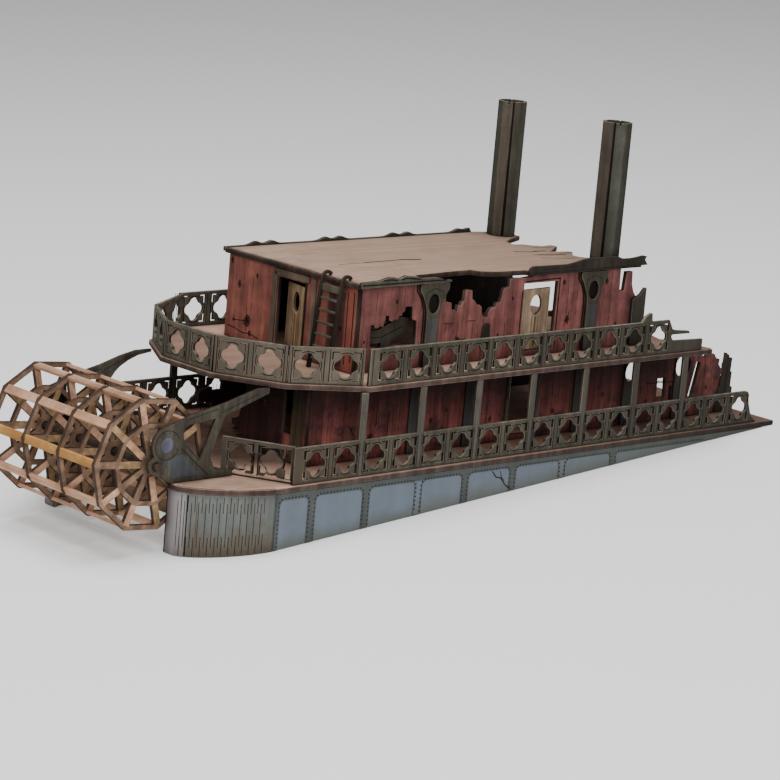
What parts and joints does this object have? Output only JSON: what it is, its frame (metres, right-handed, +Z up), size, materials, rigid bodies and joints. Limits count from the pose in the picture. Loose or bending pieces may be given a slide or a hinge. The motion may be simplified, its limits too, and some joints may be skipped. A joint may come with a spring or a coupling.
{
  "type": "model paddle steamer wreck",
  "caption": "Laser-cut board model of a wrecked stern-wheel paddle steamer, with open cabins, pierced railings, chimneys and a paddle wheel that turns.",
  "frame": {"origin": "middle of the footprint, on the ground plane that the slanted foot of the hull rests on", "axes": "+X towards the bow, +Y to port, +Z up; the decks slope down towards the bow by about 4.5 degrees"},
  "size_m": [0.5171, 0.1756, 0.2041],
  "materials": {
    "deck_board": "bare laser-cut fibreboard, matt, grimy",
    "hull_paint": "matt blue-grey paint with dark seams",
    "raw_board": "bare laser-cut fibreboard with scorched edges, matt",
    "red_paint": "matt worn dark red paint",
    "grey_green_paint": "matt dark grey-green paint, scorched brown edges",
    "cream_paint": "matt worn cream paint"
  },
  "bodies": {
    "hull": {"main_deck": "deck_board", "upper_deck": "deck_board", "roof": "deck_board", "hull_side_starboard": "hull_paint", "hull_side_port": "hull_paint", "hull_wrap_starboard": "hull_paint", "hull_wrap_port": "hull_paint", "bracket_starboard": "hull_paint", "bracket_port": "hull_paint", "well_side_starboard": "raw_board", "well_side_port": "raw_board", "well_front": "raw_board", "bulkhead_aft": "raw_board", "bulkhead_middle": "raw_board", "bulkhead_fore": "raw_board", "lower_wall_aft": "red_paint", "lower_wall_starboard": "red_paint", "lower_wall_port": "red_paint", "upper_wall_aft": "red_paint", "upper_wall_starboard": "red_paint", "upper_wall_port": "red_paint", "rail_main_starboard": "grey_green_paint", "rail_main_port": "grey_green_paint", "rail_main_aft_starboard": "grey_green_paint", "rail_main_aft_port": "grey_green_paint", "rail_upper_starboard": "grey_green_paint", "rail_upper_port": "grey_green_paint", "rail_stern_1": "grey_green_paint", "rail_stern_2": "grey_green_paint", "rail_stern_3": "grey_green_paint", "rail_stern_4": "grey_green_paint", "rail_stern_5": "grey_green_paint", "cornice_aft_starboard": "grey_green_paint", "cornice_fore_starboard": "grey_green_paint", "cornice_port": "grey_green_paint", "ladder": "grey_green_paint", "fallen_boards": "grey_green_paint", "front_post_starboard": "grey_green_paint", "front_post_port": "grey_green_paint", "chimney_starboard": "grey_green_paint", "chimney_port": "grey_green_paint", "pilaster_aft_starboard": "grey_green_paint", "pilaster_aft_port": "grey_green_paint", "pilaster_middle_starboard": "grey_green_paint", "pilaster_middle_port": "grey_green_paint", "pilaster_fore_starboard": "grey_green_paint", "pilaster_fore_port": "grey_green_paint", "door_upper_aft": "cream_paint", "door_upper_starboard": "cream_paint", "door_lower_starboard": "cream_paint"},
    "paddle_wheel": {"paddle_wheel": "raw_board", "wheel_axle": "raw_board"}
  },
  "joints": [
    {"name": "wheel_spin", "type": "hinge", "parent": "hull", "child": "paddle_wheel", "pos_m": [-0.22068, 0, 0.05132], "axis": [0, 1, 0], "continuous": true}
  ]
}
